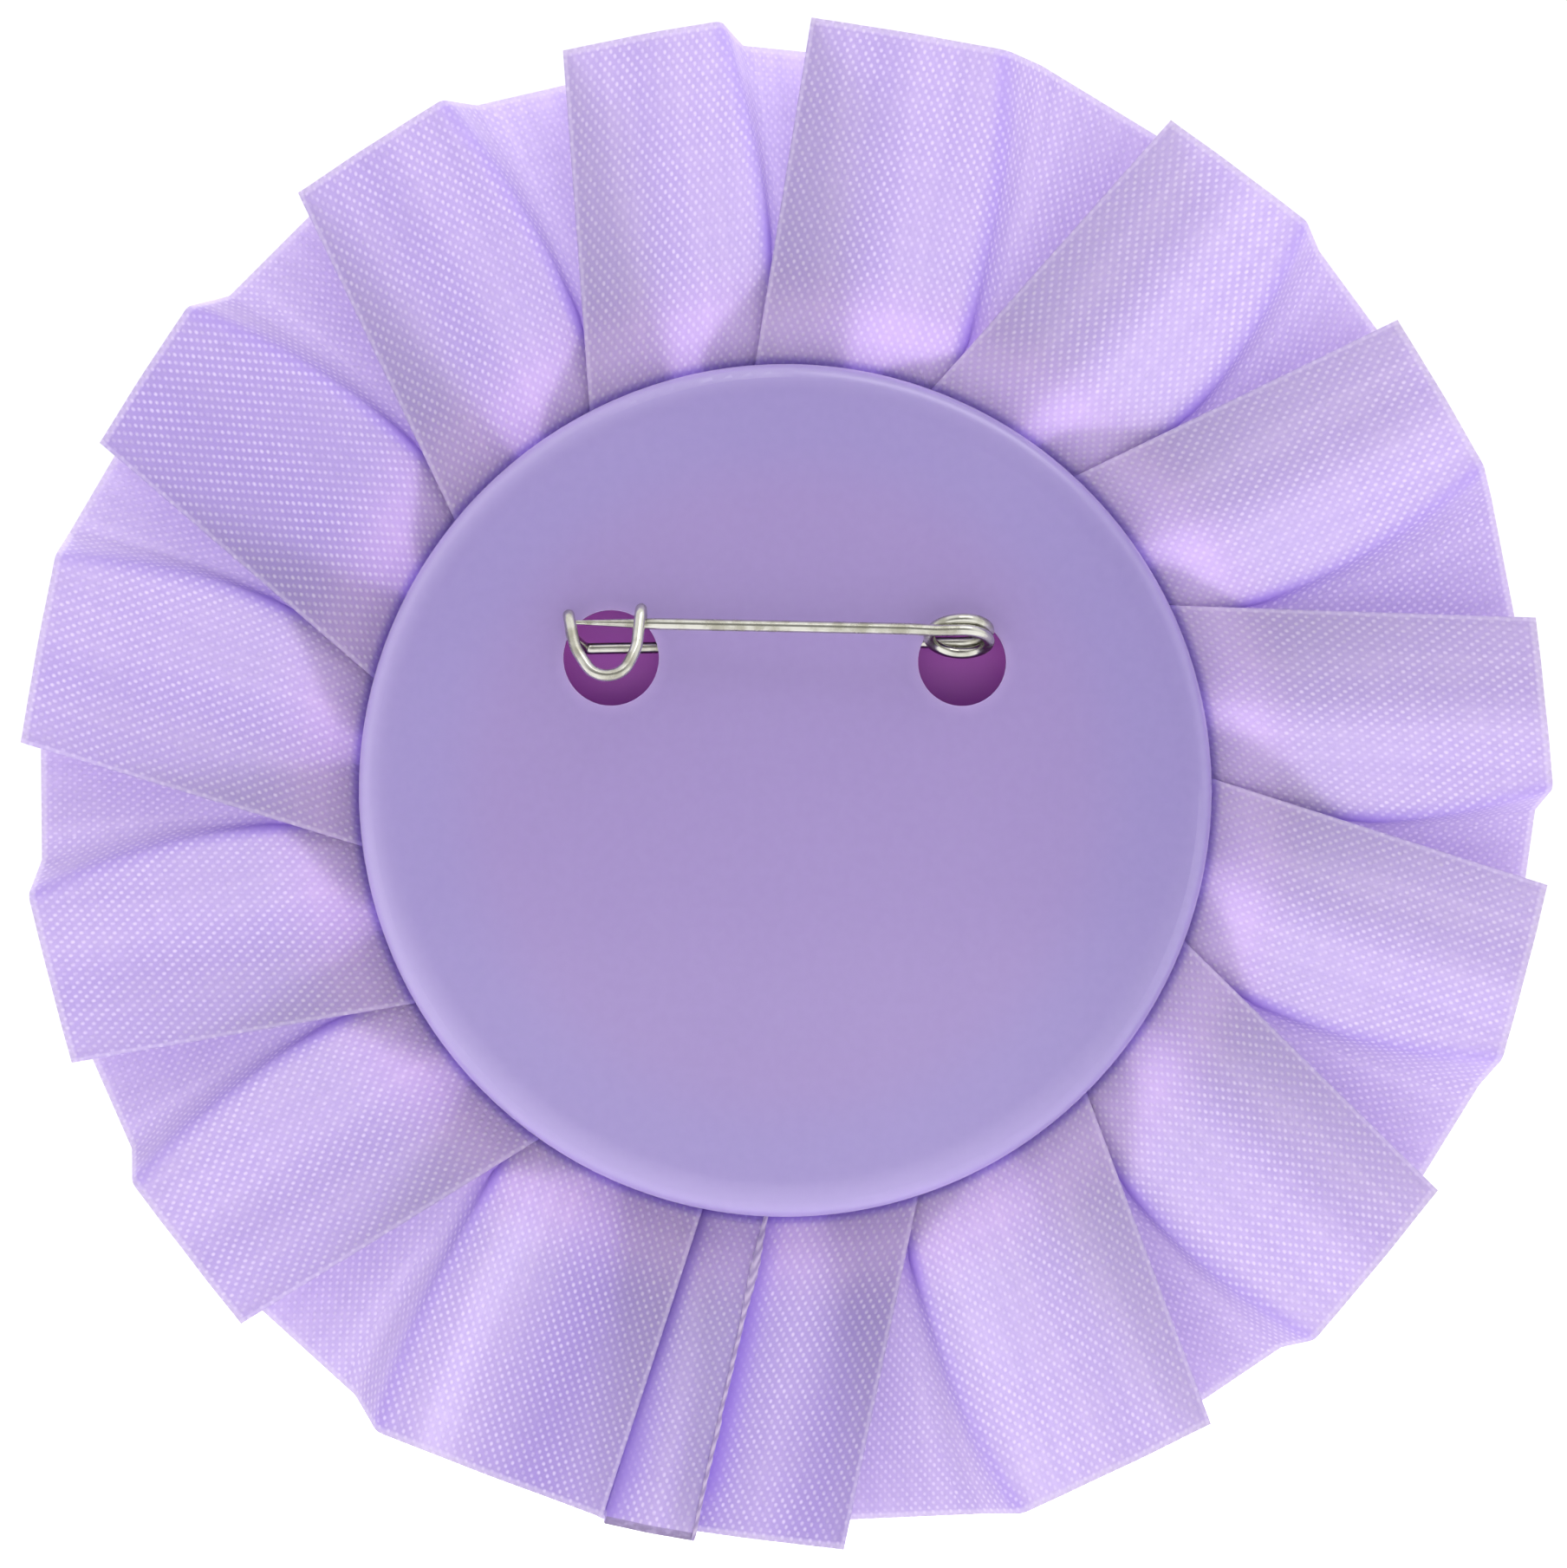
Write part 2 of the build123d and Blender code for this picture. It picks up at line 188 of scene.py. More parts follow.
def ease(x):
    x = np.clip(x, 0, 1)
    return x * x * (3 - 2 * x)


def towards(start, end):
    step = end - start
    length = np.linalg.norm(step, axis=-1, keepdims=True)
    return step / np.maximum(length, 1e-9), length


class Strip:
    """Grows the folded sheet column by column. A column holds one point for each entry of SHARE."""

    def __init__(self):
        self.columns = []

    def add(self, column):
        self.columns.append(column)

    def between(self, start, end, count):
        """Columns strictly between two places."""
        for i in range(1, count + 1):
            self.add(start + (end - start) * i / (count + 1))

    def up_to(self, start, before, corner, cut_in, count):
        """Columns from the end of one fold to where the fold at the next corner begins."""
        back, length = towards(corner, before)
        self.between(start, corner + back * np.minimum(cut_in, length * 0.6), count)

    def fold(self, before, corner, after, cut_in, cut_out, count):
        """A rounded fold about a corner, from cut_in before it to cut_out after it."""
        back, back_length = towards(corner, before)
        on, on_length = towards(corner, after)
        start = corner + back * np.minimum(cut_in, back_length * 0.6)
        end = corner + on * np.minimum(cut_out, on_length * 0.6)
        for i in range(count + 1):
            u = i / count
            self.add(start * (1 - u) ** 2 + corner * (2 * u * (1 - u)) + end * u**2)
        return start, end


OPEN = np.clip(SHARE, 0, 1)
# how far a panel droops beside its trailing fold: most where the fold comes out from under the next panel
DROOP = 0.16 * ease(OPEN / 0.45) + 0.30 * np.exp(-((SHARE - 0.30) / 0.20) ** 2) * ease(OPEN / 0.12)


def part_way(start, end, share):
    return start + (end - start) * share


def inward(plan, distance):
    """Draws plan positions towards the centre, from nothing at the rim to a distance at the outer edge."""
    length = np.linalg.norm(plan, axis=1, keepdims=True)
    return plan - plan / length * (distance * OPEN**2)[:, None]


def rising(plan, rim_z, outer_z, share=0.0):
    """Adds heights that are level under the plate and climb evenly to the outer edge, less the droop."""
    shift = np.outer(OPEN, OUTER_CENTRE)
    return np.column_stack([plan + shift, rim_z + (outer_z - rim_z) * OPEN - DROOP * share])


def fold_places():
    """For each pleat, its eight fold lines as columns."""
    leading = [straight_fold(row[0], row[1]) for row in PANELS]
    next_rims = [row[0] for row in PANELS[1:]] + [PANELS[0][0] + 360 + 6]
    leading.append(straight_fold(next_rims[-1], PANELS[-1][2] + 4))
    trailing = [trailing_fold(k, leading[k + 1], next_rims[k]) for k in range(len(PANELS))]
    trailing.append(trailing[-1])
    outer = dict(a=OUTER_BACK_Z, a_low=OUTER_BACK_Z - 0.22, b=OUTER_BACK_Z - 0.30, c=RECESS_TURN_Z,
                 d_low=OUTER_FRONT_Z, d=OUTER_FRONT_Z + 0.22)
    outer["b_low"] = part_way(outer["b"], outer["c"], 0.3)
    outer["c_low"] = part_way(outer["c"], outer["d_low"], 0.12)
    places = []
    for k in range(len(PANELS)):
        a, b, next_a, next_b = leading[k], trailing[k], leading[k + 1], trailing[k + 1]
        knuckle = knuckle_share(k)
        opened = ease((SHARE - 0.25 * knuckle) / knuckle)[:, None]
        tuck = (RIM_TUCK + (OUTER_TUCK - RIM_TUCK) * OPEN)[:, None]
        a = inward(a, SEAM_IN[k] if k < 2 else 0)
        b = inward(b, SEAM_IN[0] if k == 0 else 0)
        before_in = PANELS[k - 1][5]
        turn_in, foot_in = PANELS[k][4:]
        own = inward(part_way(a, b, tuck), before_in)
        foot = inward(part_way(next_a, next_b, tuck), foot_in)
        turn = inward(part_way(part_way(b, a, RIM_TUCK), part_way(b, next_a, RECESS_TURN), opened), turn_in)
        plans = dict(d_low=own, d=own, a_low=a, a=a, b=b, b_low=part_way(b, turn, 0.3 * opened),
                     c=turn, c_low=part_way(turn, foot, 0.12 * opened))
        droop = dict(b=1.0, b_low=0.9, c=0.5, c_low=0.4)
        places.append({n: rising(p, RIM_Z[n], outer[n], droop.get(n, 0.0)) for n, p in plans.items()})
    places[-1]["b"][:, 2] -= LAST_DIP * OPEN
    places[-1]["b"][:, :2] = inward(places[-1]["b"][:, :2], SEAM_IN[2])
    return places


def shape_panel(strip, first, last, rng):
    """Gives a back panel its crown, its drop beside the trailing fold and slight waves."""
    free = ease(OPEN / 0.45)
    crown = 0.34 + 0.22 * rng.random_sample()
    phase, waves = rng.random_sample() * 6.28, 0.07 + 0.07 * rng.random_sample()
    lean = (rng.random_sample() - 0.5) * 0.5
    for j in range(first, last):
        s = (j - first) / (last - 1 - first)
        bell = 4 * s * (1 - s)
        lift = crown * bell + waves * math.sin(s * 9.5 + phase) * bell + lean * bell * (s - 0.5)
        column = strip.columns[j].copy()
        column[:, 2] += free * lift + DROOP * (s - s**4)
        strip.columns[j] = column


def build_strip():
    """The ribbon's middle surface as rows by columns by xyz, its groups of columns and its trailing bends."""
    places = fold_places()
    strip = Strip()
    rng = np.random.RandomState(11)
    tight = TIGHT_FOLD
    groups = []             # (first column, last column, column the weave is counted from)
    bends = []              # the middle column of each trailing bend
    count = len(places)
    for k, p in enumerate(places):
        softness = 1.2 if k == SOFT_PANEL else 0.05 + 0.25 * rng.random_sample()
        tightest = 0.12 if k == 0 else 0.30
        soft = (tightest + softness * (k > 0) * ease((SHARE - 0.45) / 0.5))[:, None]
        start_group = len(strip.columns)
        if k > 0:
            _, end = strip.fold(p["d_low"], p["d"], p["a_low"], tight, 0.6, 3)
            strip.up_to(end, p["d"], p["a_low"], 0.12, 5)
            strip.fold(p["d"], p["a_low"], p["a"], 0.12, tight, 2)
            strip.fold(p["a_low"], p["a"], p["b"], tight, 0.12, 3)
        anchor = max(len(strip.columns) - 1, 0)
        first = len(strip.columns)
        panel_start = part_way(p["a"], p["b"], 0.0 if k == 0 else 0.018)
        if k == 0:
            strip.add(panel_start)
        away, _ = towards(p["b"], p["a"])
        panel_end = p["b"] if k == count - 1 else p["b"] + away * soft
        strip.between(panel_start, panel_end, PANEL_COLUMNS)
        if k == count - 1:
            strip.add(panel_end)
            shape_panel(strip, first, len(strip.columns), rng)
            bends.append(first + PANEL_COLUMNS - 3)
        else:
            shape_panel(strip, first, len(strip.columns), rng)
            bend_first = len(strip.columns)
            _, end = strip.fold(panel_start, p["b"], p["b_low"], soft, soft * 0.9, 6)
            bends.append((bend_first + len(strip.columns) - 1) // 2)
            _, length = towards(p["c"], p["b_low"])
            _, end = strip.fold(end, p["b_low"], p["c"], tight, np.minimum(0.5, length * 0.35), 2)
            reach = 0.4 + 1.5 * OPEN[:, None]
            strip.up_to(end, p["b_low"], p["c"], reach, 3)
            strip.fold(p["b_low"], p["c"], p["c_low"], reach, tight, 3)
        groups.append((start_group, len(strip.columns) - 1, anchor))
        if k < count - 1:
            n = places[k + 1]
            first = len(strip.columns)
            _, end = strip.fold(p["c"], p["c_low"], n["d_low"], tight, 0.4, 2)
            strip.up_to(end, p["c_low"], n["d_low"], 0.4, 16)
            strip.fold(p["c_low"], n["d_low"], n["d"], 0.4, tight, 2)
            last = len(strip.columns) - 1
            groups.append((first, last, (first + last) // 2))
    grid = np.stack(strip.columns, 1)
    return grid, groups, bends


def weave_coordinate(grid, groups):
    """Distance along the ribbon from each group's own anchor column."""
    steps = np.linalg.norm(np.diff(grid, axis=1), axis=2)
    run = np.concatenate([np.zeros((grid.shape[0], 1)), np.cumsum(steps, 1)], 1)
    coordinate = np.zeros_like(run)
    for i, (first, last, anchor) in enumerate(groups):
        coordinate[:, first:last + 1] = run[:, first:last + 1] - run[:, anchor:anchor + 1]
        coordinate[:, first:last + 1] += (i % 2) * 100 * DOT_PITCH     # only leading folds count from nought, so the painted fold highlight lies on them alone
    return coordinate


def grid_normals(grid):
    along = np.gradient(grid, axis=1)
    across = np.gradient(grid, axis=0)
    normal = np.cross(along, across)
    return normal / np.maximum(np.linalg.norm(normal, axis=2, keepdims=True), 1e-9)


def make_mesh(name, vertices, faces, smooth=True):
    mesh = bpy.data.meshes.new(name)
    mesh.from_pydata([tuple(v) for v in vertices], [], faces)
    mesh.update()
    if smooth:
        mesh.polygons.foreach_set("use_smooth", [True] * len(mesh.polygons))
    piece = bpy.data.objects.new(name, mesh)
    bpy.context.scene.collection.objects.link(piece)
    return piece


def groove_shading(grid, columns, beside, reach):
    """How near some columns lie to the edge that covers them, fading towards the outer edge: painted shade in
    the groove.
    """
    away = np.linalg.norm(grid[:, columns, :2] - grid[:, beside:beside + 1, :2], axis=2)
    return 0.95 * np.exp(-(away / reach) ** 2) * (1 - 0.6 * ease((SHARE - 0.80) / 0.20))[:, None]


def bend_shading(grid, groups, bends):
    """How strongly each point takes the painted shade and glow of a trailing bend, a deeper violet."""
    steps = np.linalg.norm(np.diff(grid, axis=1), axis=2)
    run = np.concatenate([np.zeros((grid.shape[0], 1)), np.cumsum(steps, 1)], 1)
    share = np.zeros_like(run)
    reaches = {0: (1.9, 1.2), len(bends) - 1: (1.0, 1.0)}       # inwards and outwards, beside the cut end
    for k, j in enumerate(bends):
        away = run - run[:, j:j + 1]
        inner, outer = reaches.get(k, (0.50, 1.0))
        reach = np.where(away < 0, inner, outer)
        along_fold = 0.38 + 0.55 * np.exp(-((SHARE - knuckle_share(k)) / 0.16) ** 2)
        if k in reaches:
            along_fold = np.full(len(SHARE), 0.75)
        share = np.maximum(share, np.exp(-(away / reach) ** 2) * along_fold[:, None])
    under_fold, under_end = slice(0, groups[0][1]), slice(groups[-1][0], grid.shape[1])
    share[:, under_fold] = np.maximum(share[:, under_fold], groove_shading(grid, under_fold, groups[2][2], 1.0))
    share[:, under_end] = np.maximum(share[:, under_end], groove_shading(grid, under_end, 0, 1.4))
    return share


def reach_out(grid, last_column):
    """Lets the cut end's panel stand out a little beyond the others, down to its trailing bend."""
    fade = 1 - ease((np.arange(grid.shape[1]) - last_column) / 3.0)
    grown = np.outer(ease((SHARE - 0.8) / 0.2), fade)
    away = grid[:, :, :2] / np.linalg.norm(grid[:, :, :2], axis=2, keepdims=True)
    grid[:, :, :2] += away * grown[:, :, None] * END_REACH
    return grown


def column_shading(count, groups, bends):
    """Painted shade and light for each column, with a few painted shade and light streaks along the panels.
    """
    painted_shading = np.zeros(count)
    for i, (first, last, _) in enumerate(groups):
        painted_shading[first:last + 1] = (RECESS_SHADES if i % 2 else PANEL_SHADES)[i // 2]
    for k, j in enumerate(bends[:-1]):
        painted_shading[j:groups[2 * k][1] + 1] = RECESS_SHADES[k]
    painted_shading = np.convolve(np.pad(painted_shading, SHADE_BLUR // 2, "edge"), np.ones(SHADE_BLUR) / SHADE_BLUR, "valid")
    rng = np.random.RandomState(23)
    for k, j in enumerate(bends):
        anchor = groups[2 * k][2]
        share = (np.arange(anchor, j) - anchor) / (j - anchor)
        # a painted shade streak and a painted light streak on each other panel
        dark_streak_at = 0.25 + 0.2 * rng.random_sample()
        light_streak_at = 0.60 + 0.2 * rng.random_sample()
        plain = [(dark_streak_at, 0.13, 0.10), (light_streak_at, 0.13, -0.15)]
        for middle, reach, change in SHADE_STREAKS.get(k, plain):
            painted_shading[anchor:j] += change * np.exp(-((share - middle) / reach) ** 2)
    return painted_shading


def make_ribbon(reverse, face):
    """The pleated ribbon as one thin closed sheet: the matt reverse behind, the satin face in front."""
    grid, groups, bends = build_strip()
    grown = reach_out(grid, bends[0] - 3)
    coordinate = weave_coordinate(grid, groups)
    # painted shade and glow of the trailing bends and grooves
    bend_shade = bend_shading(grid, groups, bends)
    rows, columns = grid.shape[:2]
    # painted shade and painted light for each column
    painted_shading = column_shading(columns, groups, bends)
    # the side that faces out on the back panels stays the reverse all along the sheet
    normal = grid_normals(grid)
    in_back_panel = groups[2][2] + 8
    if normal[rows // 2, in_back_panel, 2] < 0:
        normal = -normal
    top = grid + normal * RIBBON_T / 2
    low = grid - normal * RIBBON_T / 2
    vertices = to_world(np.concatenate([top.reshape(-1, 3), low.reshape(-1, 3)]))
    group_starts = {g[0] for g in groups}
    width = FLAT_WIDTH * (SHARE + UNDER_PLATE) / (1 + UNDER_PLATE)
    faces, slots = [], []
    layers = dict(weave=[], shade=[], painted_shading=[])

    def at(r, c, side=0):
        return side * rows * columns + r * columns + c

    def weave_place(r, c, left_column):
        """A column that starts a group is read from the group before it when it closes that group's faces."""
        if c in group_starts and c != left_column:
            step = np.linalg.norm(grid[r, c] - grid[r, c - 1])
            return (coordinate[r, c - 1] + step, width[r])
        return (coordinate[r, c], width[r])

    def add_face(corners, read_at, side):
        """A face from its vertex numbers, and each corner's row, column and place in the weave."""
        faces.append(corners)
        slots.append(side)
        for r, c, weave in read_at:
            layers["weave"].append(weave)
            layers["shade"].append((bend_shade[r, c], grown[r, c]))
            layers["painted_shading"].append((painted_shading[c], 0.5))

    def add_edge_face(corners, r, c):
        add_face(corners, [(r, c, (coordinate[r, c], width[r]))] * 4, 0)

    for c in range(columns - 1):
        for r in range(rows - 1):
            ring = [(r, c), (r, c + 1), (r + 1, c + 1), (r + 1, c)]
            for side, turn in ((0, ring), (1, ring[::-1])):
                add_face([at(*q, side) for q in turn], [(*q, weave_place(*q, c)) for q in turn], side)
        for r in (0, rows - 1):
            add_edge_face([at(r, c), at(r, c + 1), at(r, c + 1, 1), at(r, c, 1)], r, c)
    for c in (0, columns - 1):
        for r in range(rows - 1):
            add_edge_face([at(r, c), at(r + 1, c), at(r + 1, c, 1), at(r, c, 1)], r, c)
    piece = make_mesh("ribbon_rosette", vertices, faces)
    piece.data.materials.append(reverse)
    piece.data.materials.append(face)
    piece.data.polygons.foreach_set("material_index", slots)
    for name, places in layers.items():
        layer = piece.data.uv_layers.new(name=name)
        layer.data.foreach_set("uv", np.array(places, np.float32).ravel())
    fix_normals(piece)
    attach(piece, "badge")
    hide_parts("pleated_ribbon")
    return piece, grid


def fix_normals(piece):
    """Turns every face of a closed mesh outwards."""
    bm = bmesh.new()
    bm.from_mesh(piece.data)
    bmesh.ops.recalc_face_normals(bm, faces=bm.faces)
    bm.to_mesh(piece.data)
    bm.free()


# ------------------------------------------------------------------ tubes

def make_tube(name, points, radii, sides=10, ridges=0, ridge_depth=0.0, twist=0.0):
    """A closed tube along local points, with optional twisted ridges."""
    points = np.asarray(points, float)
    count = len(points)
    radii = np.broadcast_to(np.asarray(radii, float), (count,))
    tangent = np.gradient(points, axis=0)
    tangent /= np.linalg.norm(tangent, axis=1, keepdims=True)
    side = np.cross(tangent[0], [0.0, 0.0, 1.0])
    if np.linalg.norm(side) < 1e-3:
        side = np.cross(tangent[0], [0.0, 1.0, 0.0])
    rings = []
    for i in range(count):
        side = side - tangent[i] * np.dot(side, tangent[i])
        side /= np.linalg.norm(side)
        up = np.cross(tangent[i], side)
        ring = []
        for j in range(sides):
            turn = 2 * math.pi * j / sides
            swell = 1 + ridge_depth * math.cos(ridges * turn + twist * i)
            ring.append(points[i] + (side * math.cos(turn) + up * math.sin(turn)) * radii[i] * swell)
        rings.append(ring)
    vertices = [p for ring in rings for p in ring]
    faces = []
    for i in range(count - 1):
        this, after = i * sides, (i + 1) * sides
        for j in range(sides):
            k = (j + 1) % sides
            faces.append([this + j, this + k, after + k, after + j])
    faces.append(list(range(sides))[::-1])
    faces.append([(count - 1) * sides + j for j in range(sides)])
    piece = make_mesh(name, to_world(vertices), faces)
    fix_normals(piece)
    return piece


# ------------------------------------------------------------------ materials

class Nodes:
    """Short calls for building a node material."""

    def __init__(self, name):
        self.material = bpy.data.materials.new(name)
        self.material.use_nodes = True
        self.tree = self.material.node_tree
        self.tree.nodes.clear()

    def node(self, kind, inputs=None, **settings):
        made = self.tree.nodes.new(kind)
        for key, value in settings.items():
            setattr(made, key, value)
        for key, value in (inputs or {}).items():
            if isinstance(value, bpy.types.NodeSocket):
                self.tree.links.new(value, made.inputs[key])
            elif value is not None:
                made.inputs[key].default_value = value
        return made

    def math(self, operation, a, b=None, c=None, clamp=False):
        inputs = {0: a}
        if b is not None:
            inputs[1] = b
        if c is not None:
            inputs[2] = c
        return self.node("ShaderNodeMath", inputs, operation=operation, use_clamp=clamp).outputs[0]

    def step(self, value, low, high, out_low=0.0, out_high=1.0):
        made = self.node("ShaderNodeMapRange", {0: value, 1: low, 2: high, 3: out_low, 4: out_high},
                         interpolation_type="SMOOTHSTEP")
        return made.outputs[0]

    def mix(self, share, a, b, blend="MIX"):
        made = self.node("ShaderNodeMix", data_type="RGBA", blend_type=blend)
        for index, value in ((0, share), (6, a), (7, b)):
            if isinstance(value, bpy.types.NodeSocket):
                self.tree.links.new(value, made.inputs[index])
            else:
                made.inputs[index].default_value = value if index == 0 else (*value[:3], 1.0)
        return made.outputs[2]

    def noise(self, vector, scale, detail=3.0, roughness=0.5):
        made = self.node("ShaderNodeTexNoise", {"Scale": scale, "Detail": detail, "Roughness": roughness})
        self.tree.links.new(vector, made.inputs["Vector"])
        return made.outputs["Fac"]

    def bump(self, height, distance, strength=1.0, normal=None):
        made = self.node("ShaderNodeBump", {"Strength": strength, "Distance": distance, "Height": height})
        if normal is not None:
            self.tree.links.new(normal, made.inputs["Normal"])
        return made.outputs[0]

    def length(self, a, b):
        """Length of an offset from its two parts."""
        return self.math("SQRT", self.math("ADD", self.math("MULTIPLY", a, a), self.math("MULTIPLY", b, b)))

    def parts(self, vector):
        return self.node("ShaderNodeSeparateXYZ", {0: vector}).outputs

    def uv(self, name):
        return self.node("ShaderNodeUVMap", uv_map=name).outputs[0]

    def object_place(self):
        return self.node("ShaderNodeTexCoord").outputs["Object"]

    def scaled(self, vector, scale):
        made = self.node("ShaderNodeMapping", {"Scale": scale})
        self.tree.links.new(vector, made.inputs["Vector"])
        return made.outputs[0]

    def finish(self, shader):
        out = self.node("ShaderNodeOutputMaterial")
        self.tree.links.new(shader, out.inputs["Surface"])
        return self.material


def from_srgb(red, green, blue):
    def linear(v):
        v /= 255
        return v / 12.92 if v <= 0.04045 else ((v + 0.055) / 1.055) ** 2.4
    return (linear(red), linear(green), linear(blue), 1.0)


RIBBON_LOW, RIBBON_HIGH = from_srgb(210, 196, 226), from_srgb(216, 202, 230)
# painted shade, and next the painted light, for the panels and recesses
RIBBON_PAINTED_SHADE = from_srgb(176, 158, 208)
RIBBON_PAINTED_LIGHT = from_srgb(240, 230, 250)
# partly the cloth's warmer colour, partly painted light
RIBBON_WARM_AND_LIT = from_srgb(230, 202, 236)
RIBBON_DEEP = from_srgb(170, 150, 208)
RIBBON_GLINT = from_srgb(250, 242, 255)
RIBBON_GAP = from_srgb(174, 150, 218)
# painted shade and glow in the bends and grooves
RIBBON_BEND_SHADE = from_srgb(160, 122, 228)
# painted contact shadow under the plate's rim
RIBBON_SHADE = from_srgb(118, 76, 208)
# painted light beside the plate's rim
RIBBON_RIM_LIGHT = from_srgb(240, 222, 254)
RIBBON_GREY = from_srgb(162, 148, 178)
RIBBON_THROUGH = from_srgb(226, 214, 247)


def weave_dots(n, along, across):
    """Height of the binding points of a five-end satin, seen from its reverse."""
    row = n.math("DIVIDE", across, ROW_PITCH)
    whole = n.math("FLOOR", row)
    down = n.math("MULTIPLY", n.math("SUBTRACT", n.math("SUBTRACT", row, whole), 0.5), ROW_PITCH * 0.75)
    place = n.math("ADD", n.math("DIVIDE", along, DOT_PITCH), n.math("MULTIPLY", whole, DOT_SHIFT))
    side = n.math("MULTIPLY", n.math("SUBTRACT", n.math("FRACT", place), 0.5), DOT_PITCH)
    return n.step(n.length(side, down), 0.03, 0.17, 1.0, 0.0)


def ribbon_material(name, satin):
    """Polyester satin ribbon. The reverse is matt with pale binding points; the face has long floats."""
    n = Nodes(name)
    uv = n.uv("weave")
    along, across, _ = n.parts(uv)
    bend_shade, fray, _ = n.parts(n.uv("shade"))
    painted_shading = n.parts(n.uv("painted_shading"))[0]
    place = n.object_place()
    x, _, z = n.parts(place)
    radius = n.length(x, z)
    rim = PLATE_R * MM
    dots = n.math("MULTIPLY", weave_dots(n, along, across), n.step(bend_shade, 0.25, 0.75, 1.0, 0.15))
    threads = n.noise(n.scaled(uv, (3.2, 0.05, 1.0)), 1.0, 2.0)
    bands = n.noise(n.scaled(uv, (0.42, 0.02, 1.0)), 1.0, 1.0)
    rows = n.noise(n.scaled(uv, (0.06, 2.8, 1.0)), 1.0, 2.0)
    cloud = n.noise(place, 90.0, 2.0)
    speck = n.noise(n.scaled(uv, (1.6, 2.8, 1.0)), 1.0, 1.0)
    patch = n.noise(n.scaled(uv, (0.25, 0.18, 1.0)), 1.0, 2.0)
    # paler and pinker near the plate: partly the cloth's warmer colour there, partly painted light lifting
    # the shade under the rim
    warm_and_lit = n.step(across, FLAT_WIDTH * 0.36, FLAT_WIDTH * 0.55, 1.0, 0.0)
    base = n.mix(cloud, RIBBON_LOW, RIBBON_HIGH)
    # painted shade above 0 and painted light below 0, for each panel and recess
    base = n.mix(n.math("MAXIMUM", painted_shading, 0.0), base, RIBBON_PAINTED_SHADE)
    base = n.mix(n.math("MAXIMUM", n.math("MULTIPLY", painted_shading, -1.0), 0.0), base, RIBBON_PAINTED_LIGHT)
    base = n.mix(n.math("MULTIPLY", warm_and_lit, 0.60), base, RIBBON_WARM_AND_LIT)
    contrast = 0.10 if satin else 0.16
    base = n.mix(n.step(threads, 0.35, 0.65, contrast, 0.0), base, RIBBON_DEEP)
    base = n.mix(n.step(rows, 0.35, 0.65, contrast * 0.7, 0.0), base, RIBBON_DEEP)
    base = n.mix(n.step(bands, 0.35, 0.62, 0.16, 0.0), base, RIBBON_DEEP)
    # painted light: paler beside the plate's rim, lifting the shade there, most on one side
    slant = n.math("SUBTRACT", n.math("MULTIPLY", z, 0.5), x)
    rim_light = n.step(slant, -0.030, 0.033, 0.08, 0.66)
    rim_light = n.math("MULTIPLY", n.step(radius, rim + 0.0016, rim + 0.0064, 1.0, 0.0), rim_light)
    base = n.mix(rim_light, base, RIBBON_RIM_LIGHT)
    # painted shade and glow in the trailing bends and under covering edges
    base = n.mix(n.math("MULTIPLY", bend_shade, 0.80), base, RIBBON_BEND_SHADE)
    if not satin:
        glint = n.step(speck, 0.30, 0.62, 0.34, 0.82)
        glint = n.math("MULTIPLY", glint, n.step(patch, 0.3, 0.65, 0.62, 1.0))
        gaps = n.math("MULTIPLY", n.math("SUBTRACT", 1.0, dots), n.step(patch, 0.3, 0.65, 0.05, 0.20))
        base = n.mix(gaps, base, RIBBON_GAP)
        base = n.mix(n.math("MULTIPLY", dots, glint), base, RIBBON_GLINT)
        # painted highlight along each leading fold's crease
        fold_highlight = n.step(n.math("ABSOLUTE", along), 0.03, 0.16, 0.35, 0.0)
        base = n.mix(fold_highlight, base, RIBBON_GLINT)
    # painted contact shadow where the ribbon goes under the plate's rim
    contact_shadow = n.step(radius, rim + 0.0001, rim + 0.0009, 0.72, 0.0)
    base = n.mix(contact_shadow, base, RIBBON_SHADE)
    selvedge = n.step(across, FLAT_WIDTH - 0.50, FLAT_WIDTH - 0.25)
    base = n.mix(n.math("MULTIPLY", selvedge, 0.45), base, RIBBON_GLINT)
    edge = n.math("MULTIPLY", n.step(fray, 0.90, 0.94), n.step(across, FLAT_WIDTH - 0.55, FLAT_WIDTH - 0.50))
    base = n.mix(n.math("MULTIPLY", edge, n.step(speck, 0.3, 0.6, 0.6, 1.0)), base, RIBBON_GREY)
    height = n.math("ADD", n.math("MULTIPLY", dots, 0.2 if satin else 1.0), n.math("MULTIPLY", threads, 0.9))
    height = n.math("ADD", height, n.math("MULTIPLY", rows, 0.5))
    normal = n.bump(height, 0.00004, 0.8)
    surface = n.node("ShaderNodeBsdfPrincipled", {
        "Base Color": base, "Roughness": 0.36 if satin else 0.62, "Normal": normal,
        "Specular IOR Level": 0.5 if satin else 0.3, "Sheen Weight": 0.18, "Sheen Roughness": 0.4,
        "Sheen Tint": (0.92, 0.85, 1.0, 1.0)})
    glow = n.mix(0.45, base, RIBBON_THROUGH)
    through = n.node("ShaderNodeBsdfTranslucent", {"Color": glow, "Normal": normal})
    both = n.node("ShaderNodeMixShader", {0: 0.5, 1: surface.outputs[0], 2: through.outputs[0]})
    return n.finish(both.outputs[0])


